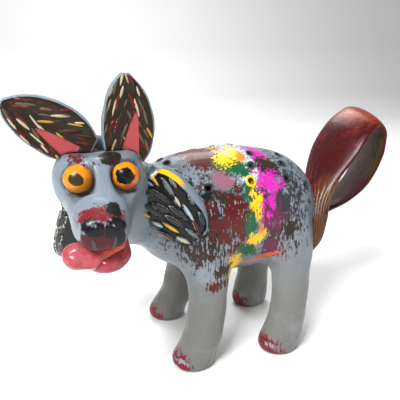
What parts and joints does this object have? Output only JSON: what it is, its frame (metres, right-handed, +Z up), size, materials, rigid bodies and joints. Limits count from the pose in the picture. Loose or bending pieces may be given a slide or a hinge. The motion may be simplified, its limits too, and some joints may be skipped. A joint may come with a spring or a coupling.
{
  "type": "carved alebrije animal figure",
  "caption": "Free-standing carved and painted wooden animal figure with plug-in ears, a looped plug-in tail, neck ruffs and a turned head with its tongue out.",
  "frame": {"origin": "on the ground plane, midway between the four feet", "axes": "+Z up; the body points along -X and its left side is at -Y; the head is turned to its left and faces -Y"},
  "size_m": [0.2015, 0.1044, 0.1455],
  "materials": {
    "painted_body": "gloss paint, grey-blue with dry-brushed colours",
    "painted_jaw": "gloss paint, crimson",
    "painted_tongue": "gloss paint, pink-red",
    "eye_paint": "gloss paint, orange with a black pupil",
    "ear_paint": "gloss paint, dark brown with pale strokes",
    "ruff_paint": "gloss paint, black with grey and yellow strands",
    "varnished_tail": "dark red varnish over brown wood",
    "bare_wood": "bare",
    "brad_brass": "plain"
  },
  "bodies": {
    "figure": {"torso": "painted_body", "head": "painted_body", "lower_jaw": "painted_jaw", "tongue": "painted_tongue", "eye_left": "eye_paint", "eye_right": "eye_paint", "ruff_left": "ruff_paint", "ruff_right": "ruff_paint", "ruff_brads": "brad_brass", "leg_front_left": "painted_body", "leg_front_right": "painted_body", "leg_rear_left": "painted_body", "leg_rear_right": "painted_body", "leg_dowels": "bare_wood", "neck_dowel": "bare_wood", "jaw_dowel": "bare_wood"},
    "left_ear": {"ear_left": "ear_paint", "ear_peg_left": "bare_wood"},
    "right_ear": {"ear_right": "ear_paint", "ear_peg_right": "bare_wood"},
    "tail": {"tail": "varnished_tail", "tail_peg": "bare_wood"}
  },
  "joints": [
    {"name": "ear_left_pull", "type": "slide", "parent": "figure", "child": "left_ear", "axis": [0.0174, 0, 0.9998], "range_m": [0, 0.04]},
    {"name": "ear_right_pull", "type": "slide", "parent": "figure", "child": "right_ear", "axis": [-0.848, 0, 0.5299], "range_m": [0, 0.04]},
    {"name": "tail_pull", "type": "slide", "parent": "figure", "child": "tail", "axis": [0.97, 0, 0.243], "range_m": [0, 0.07]}
  ]
}
